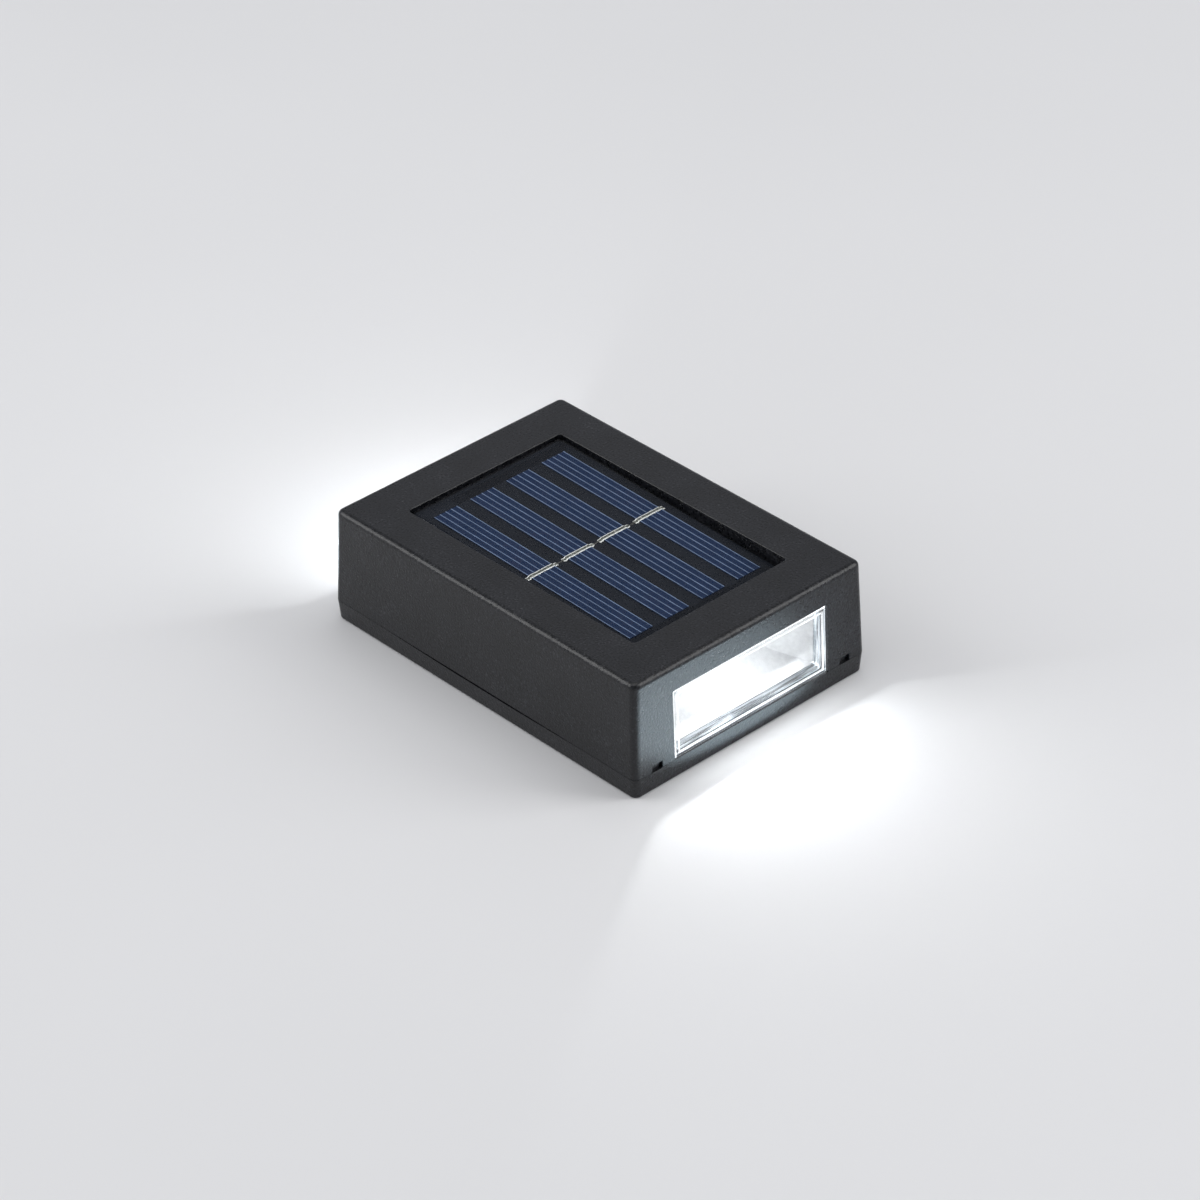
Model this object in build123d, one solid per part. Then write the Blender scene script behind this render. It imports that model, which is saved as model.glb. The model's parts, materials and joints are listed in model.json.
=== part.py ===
from build123d import *

import math
import os

# A small solar wall light, lying on its back as it lies on a table.
# Origin: centre of the flat back face. +Z points out of the wall, through the solar panel.
# +X runs along the case and points up the wall when the light is hung. Sizes are millimetres.

# Case, measured over the parting line
LENGTH = 95.0
WIDTH = 68.0
HEIGHT = 28.0
PARTING_Z = 5.0
SHELL_DRAFT = 0.85
COVER_DRAFT = 0.35
CORNER_R = 1.7
FRONT_EDGE_R = 1.3
BACK_EDGE_R = 0.6
WALL = 2.0
COVER_FLOOR = 2.2
SEAM_GAP = 0.1
SEAM_RELIEF = 0.35
SEAM_RELIEF_RUN = 20.0

# Clearances
FIT = 0.15
SEAT = 0.05
SCREW_CLEARANCE = 0.05
KNOB_CLEARANCE = 0.3
SLIDE_GAP = 0.1

# Windows in the two ends, with a clear lens behind each
WINDOW_MARGIN_Y = 11.4
WINDOW_MARGIN_Z = 6.1
WINDOW_CORNER_R = 0.6
LENS_SINK = 0.12
LENS_PLATE = 1.6
LENS_WALL = 1.2
LENS_BEVEL = 0.4
LENS_HOLLOW_R = 1.0
LENS_GROOVE_INSET = 1.1
LENS_GROOVE_W = 0.35
LENS_GROOVE_D = 0.25
FLANGE_OVERLAP = 1.4
FLANGE_T = 1.3

# Reflector behind each lens
REFLECTOR_DEPTH = 9.0
REFLECTOR_WALL = 1.2
REFLECTOR_TAPER_Y = 7.8
REFLECTOR_TAPER_Z = 3.2
FACET_Y = 5.6
FACET_Z = 0.8
FACET_START = 0.08
RETAINER_T = 1.4

# Locating tabs of the rear cover, in notches beside each window
TAB_OFFSET = 5.0
TAB_W = 3.0
TAB_H = 1.6
TAB_SINK = 0.8
TONGUE_T = 1.2
TONGUE_H = 1.8
TONGUE_MARGIN = 17.5

# Screws that hold the rear cover
BOSS_INSET_X = 6.5
BOSS_INSET_Y = 4.4
BOSS_R = 2.8
PAD_R = 3.2
COVER_SCREW_R = 1.25
COVER_SCREW_BITE = 7.0
COVER_HEAD_R = 2.3
COVER_HEAD_H = 1.6
COVER_HEAD_SINK = 1.0
HEAD_CLEARANCE = 0.3
CROSS_SLOT_REACH = 0.6
CROSS_SLOT_W = 0.6
CROSS_SLOT_DEPTH = 0.45

# Solar panel, in its recess in the front face
RECESS_MARGIN_X = 12.3
RECESS_MARGIN_Y = 11.7
RECESS_CORNER_R = 1.0
RECESS_EDGE_R = 0.25
RECESS_DEPTH = 1.4
PANEL_TILT = 1.5
PANEL_GAP = 0.5
PANEL_CORNER_R = 1.0
PANEL_COVER_T = 0.8
PANEL_EDGE_R = 0.5
PANEL_BOARD_T = 1.2
GASKET_T = 0.6
GASKET_W = 5.0
TRAY_FLOOR = 2.2
TRAY_WALL = 1.6
WIRE_OPENING_X = 24.0
WIRE_OPENING_Y = 16.0

# Cell strips, their printed fingers and the ribbons that join them
CELL_COUNT = 4
CELL_GAP = 3.85
CELL_MARGIN_X = 4.2
CELL_MARGIN_Y = 2.75
CELL_T = 0.25
FINGER_COUNT = 5
FINGER_W = 0.22
FINGER_T = 0.04
FINGER_INSET = 0.03
RIBBON_W = 1.3
RIBBON_T = 0.12
RIBBON_TAIL = 0.9
COVER_POCKET_GAP = 0.3

# Control board
BOARD_W = 18.0
BOARD_T = 1.6
POST_INSET = 6.5
POST_R = 2.4
BOARD_SCREW_R = 1.0
BOARD_SCREW_BITE = 4.5
BOARD_HEAD_R = 2.0
BOARD_HEAD_H = 1.3
CHIP_SIZE = (5.0, 4.0, 1.5)
CHIP_LEG_PITCH = 1.27
CHIP_LEG = (0.4, 1.0, 0.25)
CHIP_LEGS_A_SIDE = 4
INDUCTOR_R = 2.6
INDUCTOR_WAIST_R = 2.2
INDUCTOR_FLANGE_T = 0.8
INDUCTOR_H = 5.0
CAPACITOR_R = 2.5
CAPACITOR_H = 6.0
RESISTOR_SIZE = (2.0, 1.25, 0.5)
RESISTOR_PITCH = 3.2
RESISTOR_COUNT = 3

# Round lamp (LED) at each end of the board
LED_R = 2.5
LED_FLANGE_R = 2.9
LED_FLANGE_T = 1.0
LED_LENGTH = 7.0
LED_LEG = 0.5
LED_LEG_ON_BOARD = 3.5
LED_TO_BOARD = 1.2

# Rechargeable AAA cell and its contacts
BATTERY_R = 5.25
BATTERY_LENGTH = 44.5
BATTERY_SLEEVE_T = 0.15
BATTERY_NUB_R = 1.9
BATTERY_NUB_H = 1.0
BATTERY_GAP_Y = 3.5
BATTERY_GAP_Z = 1.0
SPRING_LENGTH = 5.2
SPRING_R = 2.9
SPRING_WIRE_R = 0.3
SPRING_TURNS = 4
CONTACT_T = 0.4
CONTACT_W = 8.0
CONTACT_H = 8.0
BAY_WALL = 1.5
SADDLE_T = 1.6
SADDLE_INSET = 8.0

# Slide switch in the rear cover
SWITCH_MARGIN_Y = 13.0
SWITCH_TRAVEL = 2.5
SWITCH_RECESS_L = 11.0
SWITCH_RECESS_W = 8.0
SWITCH_RECESS_D = 2.6
SWITCH_FLOOR = 1.6
SWITCH_EAR_PITCH = 15.4
SWITCH_EAR_END = 2.4
SWITCH_L = 11.8
SWITCH_W = 6.6
SWITCH_H = 5.0
SWITCH_SHEET = 0.4
SWITCH_BASE_T = 1.0
SWITCH_PIN_PITCH = 4.0
SWITCH_PIN = (0.8, 0.4)
SWITCH_PIN_OUT = 2.2
SWITCH_PIN_IN = 0.4
SWITCH_SCREW_R = 0.8
SWITCH_SCREW_BITE = 2.2
SWITCH_SCREW_ROOM = 0.4
SWITCH_HEAD_R = 1.5
SWITCH_HEAD_H = 0.9
KNOB_L = 3.0
KNOB_W = 3.0
KNOB_TIP_Z = 0.9
KNOB_SHOULDER_L = 5.2
KNOB_SHOULDER_T = 1.2
KNOB_RIB_DEPTH = 0.4
CLIP_W = 1.4

# Keyholes in the back, one above the other when the light hangs
KEYHOLE_PITCH = 44.0
KEYHOLE_ENTRY_R = 3.75
KEYHOLE_SLOT_R = 2.0
KEYHOLE_TRAVEL = 6.5
KEYHOLE_POCKET_R = 4.4
KEYHOLE_POCKET_H = 3.2
KEYHOLE_WALL = 1.2

# Insulated wires inside the case
WIRE_R = 0.6
WIRE_BEND = 0.9
PANEL_WIRE_X = 6.0
PANEL_WIRE_Y = 3.0
PANEL_WIRE_SHIFT = 4.0
WIRE_DROP = 2.0
SWITCH_WIRE_RISE = 0.9
WIRE_LAND_Y = 3.0

# Worked out from the sizes above
LEAN = SHELL_DRAFT / (HEIGHT - PARTING_Z)
END_X = LENGTH / 2
SIDE_Y = WIDTH / 2
CEILING_Z = HEIGHT - WALL
COVER_TOP_Z = PARTING_Z - SEAM_GAP
ROOT_Z = COVER_FLOOR / 2
OVERCUT = 1.0

WINDOW_HALF_Y = SIDE_Y - WINDOW_MARGIN_Y
WINDOW_TOP_Z = HEIGHT - WINDOW_MARGIN_Z
LIGHT_Z = (PARTING_Z + WINDOW_TOP_Z) / 2
LENS_HALF_Y = WINDOW_HALF_Y - FIT
LENS_TOP_Z = WINDOW_TOP_Z - FIT
FLANGE_HALF_Y = WINDOW_HALF_Y + FLANGE_OVERLAP
FLANGE_TOP_Z = WINDOW_TOP_Z + FLANGE_OVERLAP
FLANGE_FRONT_X = END_X - WALL - LEAN * (FLANGE_TOP_Z - PARTING_Z) - FIT
FLANGE_BACK_X = FLANGE_FRONT_X - FLANGE_T
REFLECTOR_FRONT_X = FLANGE_BACK_X - SEAT
REFLECTOR_BACK_X = REFLECTOR_FRONT_X - REFLECTOR_DEPTH
REFLECTOR_PLATE_X = REFLECTOR_BACK_X - REFLECTOR_WALL
LED_FRONT_X = REFLECTOR_PLATE_X - SEAT
BOARD_END_X = LED_FRONT_X - LED_FLANGE_T - LED_TO_BOARD
TAB_Y = WINDOW_HALF_Y + TAB_OFFSET

BOSS_X = END_X - BOSS_INSET_X
BOSS_Y = SIDE_Y - BOSS_INSET_Y
BOSS_SEAT_Z = COVER_TOP_Z
COVER_HEAD_Z = COVER_HEAD_SINK + COVER_HEAD_H

RECESS_HALF_X = END_X - RECESS_MARGIN_X
RECESS_HALF_Y = SIDE_Y - RECESS_MARGIN_Y
PANEL_HALF_X = RECESS_HALF_X - PANEL_GAP
PANEL_HALF_Y = RECESS_HALF_Y - PANEL_GAP
PANEL_TOP_Z = HEIGHT - RECESS_DEPTH
PANEL_BOARD_TOP_Z = PANEL_TOP_Z - PANEL_COVER_T
PANEL_BOTTOM_Z = PANEL_BOARD_TOP_Z - PANEL_BOARD_T
LEDGE_Z = PANEL_BOTTOM_Z - GASKET_T
TRAY_BOTTOM_Z = LEDGE_Z - TRAY_FLOOR
CELL_HALF_X = PANEL_HALF_X - CELL_MARGIN_X
CELL_SPAN_Y = 2 * (PANEL_HALF_Y - CELL_MARGIN_Y)
CELL_W = (CELL_SPAN_Y - (CELL_COUNT - 1) * CELL_GAP) / CELL_COUNT
CELL_PITCH = CELL_W + CELL_GAP
CELL_TOP_Z = PANEL_BOARD_TOP_Z + CELL_T

BOARD_TOP_Z = LIGHT_Z + BOARD_T / 2
BOARD_BOTTOM_Z = LIGHT_Z - BOARD_T / 2
POST_X = BOARD_END_X - POST_INSET

BATTERY_Y = BOARD_W / 2 + BATTERY_GAP_Y + BATTERY_R
BATTERY_Z = COVER_FLOOR + BATTERY_GAP_Z + BATTERY_R
BAY_LENGTH = BATTERY_LENGTH + SPRING_LENGTH + 2 * CONTACT_T + 3 * SEAT
BATTERY_TIP_X = BAY_LENGTH / 2 - CONTACT_T - SEAT
BATTERY_TAIL_X = BATTERY_TIP_X - BATTERY_LENGTH
SADDLE_XS = (BATTERY_TAIL_X + SADDLE_INSET, BATTERY_TIP_X - SADDLE_INSET)

SWITCH_Y = SWITCH_MARGIN_Y - SIDE_Y
SWITCH_SEAT_Z = SWITCH_RECESS_D + SWITCH_FLOOR
SWITCH_TOP_Z = SWITCH_SEAT_Z + SWITCH_H
SWITCH_CAVITY_Z = SWITCH_SEAT_Z + SWITCH_SHEET
SWITCH_BASE_Z = SWITCH_TOP_Z - SWITCH_BASE_T
KNOB_X = SWITCH_TRAVEL / 2
KNOB_SLOT_L = KNOB_L + SWITCH_TRAVEL + 2 * KNOB_CLEARANCE
KNOB_SLOT_W = KNOB_W + 2 * KNOB_CLEARANCE
KNOB_SHOULDER_Z = SWITCH_CAVITY_Z + SLIDE_GAP
KNOB_SHOULDER_W = SWITCH_W - 2 * SWITCH_SHEET - 2 * KNOB_CLEARANCE


# Shapes that several pieces use

def block(x0, x1, y0, y1, z0, z1):
    """A box between two opposite corners."""
    centre = Pos((x0 + x1) / 2, (y0 + y1) / 2, (z0 + z1) / 2)
    return centre * Box(abs(x1 - x0), abs(y1 - y0), abs(z1 - z0))


def centred_block(x, y, z, size):
    """A box that stands on height z, centred on x and y."""
    return Pos(x, y, z + size[2] / 2) * Box(*size)


def upright(x, y, z0, z1, radius):
    """A round post or hole along Z."""
    return Pos(x, y, (z0 + z1) / 2) * Cylinder(radius, abs(z1 - z0))


def lying(x0, x1, y, z, radius):
    """A round bar or hole along X."""
    return Pos((x0 + x1) / 2, y, z) * Rot(0, 90, 0) * Cylinder(radius, x1 - x0)


def plate(half_x, half_y, corner_r, z0, z1):
    """A flat plate with rounded corners."""
    return Pos(0, 0, z0) * extrude(RectangleRounded(2 * half_x, 2 * half_y, corner_r), z1 - z0)


def tapered(half_x, half_y, corner_r, z0, inset0, z1, inset1):
    """A block with rounded corners, pulled in by inset0 at height z0 and by inset1 at z1."""
    outlines = []
    for z, inset in ((z0, inset0), (z1, inset1)):
        outline = RectangleRounded(2 * (half_x - inset), 2 * (half_y - inset), corner_r)
        outlines.append(Pos(0, 0, z) * outline)
    return loft(outlines, ruled=True)


def shell_envelope(inset, z0, z1):
    """The shell's drafted outer form, pulled in by inset all round, from z0 to z1."""
    corner_r = max(CORNER_R - inset, WINDOW_CORNER_R)
    low = inset + LEAN * (z0 - PARTING_Z)
    high = inset + LEAN * (z1 - PARTING_Z)
    return tapered(END_X, SIDE_Y, corner_r, z0, low, z1, high)


def at_corners(x, y):
    """The four places that mirror each other over X and Y."""
    return [(sx * x, sy * y) for sx in (-1, 1) for sy in (-1, 1)]


def other_end(shape):
    """The same shape at the lower end of the case."""
    return mirror(shape, about=Plane.YZ)


def wire(points, bend=WIRE_BEND):
    """An insulated wire along straight runs joined by arcs."""
    path = FilletPolyline(*points, radius=bend)
    section = Plane(origin=path @ 0, z_dir=path % 0) * Circle(WIRE_R)
    return sweep(section, path=path)


def screw(x, y, seat_z, up, head_r, head_h, shank_r, length):
    """A pan-head screw with a cross slot. Its head rests on seat_z and its shank points up or down."""
    sense = 1 if up else -1
    face_z = seat_z - sense * head_h
    head = upright(x, y, seat_z, face_z, head_r)
    shank = upright(x, y, seat_z, seat_z + sense * length, shank_r)
    arm = 2 * head_r * CROSS_SLOT_REACH
    for length_x, length_y in ((arm, CROSS_SLOT_W), (CROSS_SLOT_W, arm)):
        head -= Pos(x, y, face_z) * Box(length_x, length_y, 2 * CROSS_SLOT_DEPTH)
    return head + shank


# The case

def make_front_shell():
    """The black shell: front face, four walls, panel tray, bosses, posts and the battery bay's ribs."""
    shell = shell_envelope(0, PARTING_Z, HEIGHT)
    shell = fillet(shell.faces().sort_by(Axis.Z)[-1].edges(), FRONT_EDGE_R)
    shell -= shell_envelope(WALL, PARTING_Z - OVERCUT, CEILING_Z)

    tray_x = RECESS_HALF_X + TRAY_WALL
    tray_y = RECESS_HALF_Y + TRAY_WALL
    shell += block(-tray_x, tray_x, -tray_y, tray_y, TRAY_BOTTOM_Z, CEILING_Z)
    for x, y in at_corners(BOSS_X, BOSS_Y):
        shell += upright(x, y, BOSS_SEAT_Z, CEILING_Z, BOSS_R)
    for x in (-POST_X, POST_X):
        shell += upright(x, 0, BOARD_TOP_Z, TRAY_BOTTOM_Z, POST_R)
    for end, side in at_corners(1, 1):
        shell += retainer_rib(end, side)
    shell += battery_bay()

    shell -= panel_recess()
    shell -= block(-WIRE_OPENING_X / 2, WIRE_OPENING_X / 2, -WIRE_OPENING_Y / 2, WIRE_OPENING_Y / 2,
                   TRAY_BOTTOM_Z - OVERCUT, LEDGE_Z + OVERCUT)
    window = block(FLANGE_FRONT_X, END_X + OVERCUT, -WINDOW_HALF_Y, WINDOW_HALF_Y,
                   PARTING_Z - OVERCUT, WINDOW_TOP_Z)
    window = fillet(window.edges().filter_by(Axis.X).group_by(Axis.Z)[-1], WINDOW_CORNER_R)
    shell -= window
    shell -= other_end(window)
    for x, y in at_corners(END_X, TAB_Y):
        shell -= Pos(x, y, PARTING_Z + TAB_H / 2) * Box(2 * WALL + OVERCUT, TAB_W, TAB_H)
    for x, y in at_corners(BOSS_X, BOSS_Y):
        shell -= upright(x, y, BOSS_SEAT_Z - OVERCUT, BOSS_SEAT_Z + COVER_SCREW_BITE + OVERCUT,
                         COVER_SCREW_R + SCREW_CLEARANCE)
    for x in (-POST_X, POST_X):
        shell -= upright(x, 0, BOARD_TOP_Z - OVERCUT, BOARD_TOP_Z + BOARD_SCREW_BITE + OVERCUT,
                         BOARD_SCREW_R + SCREW_CLEARANCE)

    front_face = shell.faces().filter_by(Axis.Z).sort_by(Axis.Z)[-1]
    return fillet(front_face.inner_wires()[0].edges(), RECESS_EDGE_R)


def on_panel_slope(shape):
    """Leans a shape with the panel's bed, which drops towards the upper end."""
    return Pos(0, 0, PANEL_TOP_Z) * Rot(0, PANEL_TILT, 0) * Pos(0, 0, -PANEL_TOP_Z) * shape


def panel_recess():
    """The panel's recess: upright walls over a sloping bed."""
    recess = plate(RECESS_HALF_X, RECESS_HALF_Y, RECESS_CORNER_R, TRAY_BOTTOM_Z, HEIGHT + OVERCUT)
    bed = block(-END_X, END_X, -SIDE_Y, SIDE_Y, LEDGE_Z - HEIGHT, LEDGE_Z)
    return recess - on_panel_slope(bed)


def retainer_rib(end, side):
    """A rib beside a boss that keeps one edge of a reflector and its lens against the end wall."""
    front = REFLECTOR_FRONT_X - REFLECTOR_WALL - SEAT
    return block(end * (front - RETAINER_T), end * front, side * (WINDOW_HALF_Y + FIT), side * BOSS_Y,
                 BOSS_SEAT_Z, CEILING_Z)


def battery_bay():
    """Two end walls and two saddles under the panel tray, round the battery's upper half."""
    top = TRAY_BOTTOM_Z + TRAY_FLOOR / 2
    low_y = BATTERY_Y - CONTACT_W / 2
    high_y = BATTERY_Y + CONTACT_W / 2
    ribs = []
    for end in (-1, 1):
        ribs.append(block(end * BAY_LENGTH / 2, end * (BAY_LENGTH / 2 + BAY_WALL), low_y, high_y,
                          COVER_FLOOR + BATTERY_GAP_Z, top))
    hollow = lying(BATTERY_TAIL_X, BATTERY_TIP_X, BATTERY_Y, BATTERY_Z, BATTERY_R + FIT)
    for x in SADDLE_XS:
        ribs.append(block(x - SADDLE_T / 2, x + SADDLE_T / 2, BATTERY_Y - BATTERY_R - WALL,
                          BATTERY_Y + BATTERY_R + WALL, BATTERY_Z, top) - hollow)
    return ribs


def make_rear_cover():
    """The shallow back cover: it carries the keyholes, the switch and the lower battery saddles."""
    cover = tapered(END_X, SIDE_Y, CORNER_R, 0, COVER_DRAFT, COVER_TOP_Z, 0)
    cover = fillet(cover.faces().sort_by(Axis.Z)[0].edges(), BACK_EDGE_R)
    cover -= plate(END_X - WALL, SIDE_Y - WALL, WINDOW_CORNER_R, COVER_FLOOR, COVER_TOP_Z + OVERCUT)

    for x, y in at_corners(BOSS_X, BOSS_Y):
        cover += upright(x, y, ROOT_Z, BOSS_SEAT_Z, PAD_R)
    for side in (-1, 1):
        cover -= seam_relief(side)
        cover += locating_tongue(side)
    for end, side in at_corners(1, 1):
        cover += locating_tab(end, side)
    for end in (-1, 1):
        cover += block(end * (REFLECTOR_FRONT_X - REFLECTOR_WALL), end * FLANGE_FRONT_X,
                       -LENS_HALF_Y, LENS_HALF_Y, ROOT_Z, COVER_TOP_Z)
    for x in keyhole_entries():
        cover += keyhole_form(x, KEYHOLE_POCKET_R + KEYHOLE_WALL, ROOT_Z,
                              COVER_FLOOR + KEYHOLE_POCKET_H + KEYHOLE_WALL)
    cover += lower_saddles()
    half_l = SWITCH_EAR_PITCH / 2 + SWITCH_EAR_END
    half_w = SWITCH_RECESS_W / 2 + WALL
    cover += block(-half_l, half_l, SWITCH_Y - half_w, SWITCH_Y + half_w, ROOT_Z, SWITCH_SEAT_Z)

    for x, y in at_corners(BOSS_X, BOSS_Y):
        cover -= upright(x, y, -OVERCUT, BOSS_SEAT_Z + OVERCUT, COVER_SCREW_R + HEAD_CLEARANCE)
        cover -= upright(x, y, -OVERCUT, COVER_HEAD_Z, COVER_HEAD_R + HEAD_CLEARANCE)
    for x in keyhole_entries():
        cover -= upright(x, 0, -OVERCUT, COVER_FLOOR + SEAT, KEYHOLE_ENTRY_R)
        cover -= keyhole_form(x, KEYHOLE_SLOT_R, -OVERCUT, COVER_FLOOR + SEAT)
        cover -= keyhole_form(x, KEYHOLE_POCKET_R, COVER_FLOOR, COVER_FLOOR + KEYHOLE_POCKET_H)
    recess = Pos(0, SWITCH_Y, 0) * plate(SWITCH_RECESS_L / 2, SWITCH_RECESS_W / 2, WINDOW_CORNER_R,
                                         -OVERCUT, SWITCH_RECESS_D)
    cover -= recess
    cover -= Pos(0, SWITCH_Y, SWITCH_SEAT_Z) * Box(KNOB_SLOT_L, KNOB_SLOT_W, 2 * SWITCH_FLOOR + OVERCUT)
    for x in (-SWITCH_EAR_PITCH / 2, SWITCH_EAR_PITCH / 2):
        cover -= upright(x, SWITCH_Y, SWITCH_SEAT_Z - SWITCH_SCREW_BITE - SWITCH_SCREW_ROOM,
                         SWITCH_SEAT_Z + OVERCUT, SWITCH_SCREW_R + SCREW_CLEARANCE)
    return cover


def keyhole_entries():
    """X of each keyhole's round entry. The slot runs from it towards +X, where the screw hangs."""
    return [hang - KEYHOLE_TRAVEL for hang in (-KEYHOLE_PITCH / 2, KEYHOLE_PITCH / 2)]


def keyhole_form(entry_x, radius, z0, z1):
    """A slot-shaped column from a keyhole's entry to its hanging point."""
    slot = SlotCenterToCenter(KEYHOLE_TRAVEL, 2 * radius)
    return Pos(entry_x + KEYHOLE_TRAVEL / 2, 0, z0) * extrude(slot, z1 - z0)


def seam_relief(side):
    """A long shallow cut in the cover's rim, where the seam of a long side gapes."""
    half_x = END_X - TONGUE_MARGIN
    deep = COVER_TOP_Z - SEAM_RELIEF
    level = half_x - SEAM_RELIEF_RUN
    rim_points = ((-half_x, COVER_TOP_Z), (-level, deep), (level, deep), (half_x, COVER_TOP_Z))
    cut = extrude(Plane.XZ * make_face(Polyline(*rim_points, close=True)), WALL)
    return Pos(0, side * (SIDE_Y - WALL / 2) + WALL / 2, 0) * cut


def locating_tongue(side):
    """An upstand that slides inside the shell's long wall."""
    outer = SIDE_Y - WALL - FIT - LEAN * TONGUE_H
    half_x = END_X - TONGUE_MARGIN
    return block(-half_x, half_x, side * (outer - TONGUE_T), side * outer, ROOT_Z, PARTING_Z + TONGUE_H)


def locating_tab(end, side):
    """A tab that stands in a notch of the shell's end wall, a little below the wall's face."""
    inner = END_X - WALL
    outer = END_X - TAB_SINK
    half_w = TAB_W / 2 - FIT
    low_y = side * TAB_Y - half_w
    return block(end * inner, end * outer, low_y, low_y + 2 * half_w, ROOT_Z, PARTING_Z + TAB_H - FIT)


def lower_saddles():
    """Ribs of the rear cover under the battery."""
    hollow = lying(BATTERY_TAIL_X, BATTERY_TIP_X, BATTERY_Y, BATTERY_Z, BATTERY_R + FIT)
    ribs = []
    for x in SADDLE_XS:
        ribs.append(block(x - SADDLE_T / 2, x + SADDLE_T / 2, BATTERY_Y - BATTERY_R, BATTERY_Y + BATTERY_R,
                          ROOT_Z, BATTERY_Z - BATTERY_R / 2) - hollow)
    return ribs


def make_cover_screws():
    """Four screws that go in from the back."""
    length = BOSS_SEAT_Z - COVER_HEAD_Z + COVER_SCREW_BITE
    return [screw(x, y, COVER_HEAD_Z, True, COVER_HEAD_R, COVER_HEAD_H, COVER_SCREW_R, length)
            for x, y in at_corners(BOSS_X, BOSS_Y)]


# The light at each end

def make_lens():
    """The clear lens in the upper window: a plate with a wall behind it and a flange inside the case."""
    plug = block(FLANGE_BACK_X, END_X, -LENS_HALF_Y, LENS_HALF_Y, COVER_TOP_Z, LENS_TOP_Z)
    plug &= shell_envelope(LENS_SINK, PARTING_Z - OVERCUT, HEIGHT)
    face = plug.faces().sort_by(Axis.X)[-1]
    plug = chamfer(face.edges(), LENS_BEVEL)
    plug -= lens_groove()
    plug += block(FLANGE_BACK_X, FLANGE_FRONT_X, -FLANGE_HALF_Y, FLANGE_HALF_Y, COVER_TOP_Z, FLANGE_TOP_Z)
    hollow = block(FLANGE_BACK_X - OVERCUT, END_X, LENS_WALL - LENS_HALF_Y, LENS_HALF_Y - LENS_WALL,
                   COVER_TOP_Z + LENS_WALL, LENS_TOP_Z - LENS_WALL)
    hollow = fillet(hollow.edges().filter_by(Axis.X), LENS_HOLLOW_R)
    hollow &= shell_envelope(LENS_SINK + LENS_PLATE, PARTING_Z - OVERCUT, HEIGHT)
    return plug - hollow


def lens_groove():
    """A fine groove round the lens's face, near its edge."""
    frame = []
    for inset in (LENS_GROOVE_INSET, LENS_GROOVE_INSET + LENS_GROOVE_W):
        frame.append(block(FLANGE_FRONT_X, END_X, inset - LENS_HALF_Y, LENS_HALF_Y - inset,
                           COVER_TOP_Z + inset, LENS_TOP_Z - inset))
    groove = frame[0] - frame[1]
    return groove - shell_envelope(LENS_SINK + LENS_GROOVE_D, PARTING_Z - OVERCUT, HEIGHT)


def facet_outline(half_y, half_z, facet_y, facet_z, x):
    """A rectangle across X with its corners cut off."""
    points = []
    for sy, sz in ((1, 1), (-1, 1), (-1, -1), (1, -1)):
        along = (sy * half_y, sz * (half_z - facet_z))
        across = (sy * (half_y - facet_y), sz * half_z)
        points += [along, across] if sy * sz > 0 else [across, along]
    places = [Vector(x, y, LIGHT_Z + z) for y, z in points]
    return make_face(Polyline(*places, close=True))


def reflector_form(wall):
    """The faceted bowl behind the upper window, thickened by wall on every side."""
    half_y = LENS_HALF_Y - LENS_WALL
    half_z = (LENS_TOP_Z - COVER_TOP_Z) / 2 - LENS_WALL
    front = facet_outline(half_y + wall, half_z + wall, FACET_Y * FACET_START, FACET_Z * FACET_START,
                          REFLECTOR_FRONT_X)
    back = facet_outline(half_y - REFLECTOR_TAPER_Y + wall, half_z - REFLECTOR_TAPER_Z + wall,
                         FACET_Y, FACET_Z, REFLECTOR_BACK_X)
    return loft([front, back], ruled=True)


def make_reflector():
    """The bright bowl behind the upper lens, with a flange in front and a round hole for the lamp."""
    half_y = LENS_HALF_Y - LENS_WALL - REFLECTOR_TAPER_Y + REFLECTOR_WALL
    half_z = (LENS_TOP_Z - COVER_TOP_Z) / 2 - LENS_WALL - REFLECTOR_TAPER_Z + REFLECTOR_WALL
    bowl = reflector_form(REFLECTOR_WALL)
    bowl += block(REFLECTOR_PLATE_X, REFLECTOR_BACK_X, -half_y, half_y, LIGHT_Z - half_z, LIGHT_Z + half_z)
    bowl += block(REFLECTOR_FRONT_X - REFLECTOR_WALL, REFLECTOR_FRONT_X, -FLANGE_HALF_Y, FLANGE_HALF_Y,
                  COVER_TOP_Z, FLANGE_TOP_Z)
    bowl -= reflector_form(0)
    return bowl - lying(REFLECTOR_PLATE_X - OVERCUT, REFLECTOR_FRONT_X, 0, LIGHT_Z, LED_R + FIT)


def make_led():
    """The clear lamp in the upper reflector: flange, barrel and dome."""
    dome_x = LED_FRONT_X + LED_LENGTH - LED_R
    led = lying(LED_FRONT_X - LED_FLANGE_T, LED_FRONT_X, 0, LIGHT_Z, LED_FLANGE_R)
    led += lying(LED_FRONT_X - LED_FLANGE_T, dome_x, 0, LIGHT_Z, LED_R)
    return led + Pos(dome_x, 0, LIGHT_Z) * Sphere(LED_R)


def make_led_legs():
    """Two legs from each lamp, one on each face of the board."""
    start = BOARD_END_X - LED_LEG_ON_BOARD
    end = LED_FRONT_X - LED_FLANGE_T
    offset = BOARD_T / 2
    legs = []
    for side in (-1, 1):
        for z0 in (LIGHT_Z + offset, LIGHT_Z - offset - LED_LEG):
            legs.append(block(side * start, side * end, -LED_LEG / 2, LED_LEG / 2, z0, z0 + LED_LEG))
    return legs


# The solar panel

def make_panel_board():
    """The black board that carries the cells."""
    return plate(PANEL_HALF_X, PANEL_HALF_Y, PANEL_CORNER_R, PANEL_BOTTOM_Z, PANEL_BOARD_TOP_Z)


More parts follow.
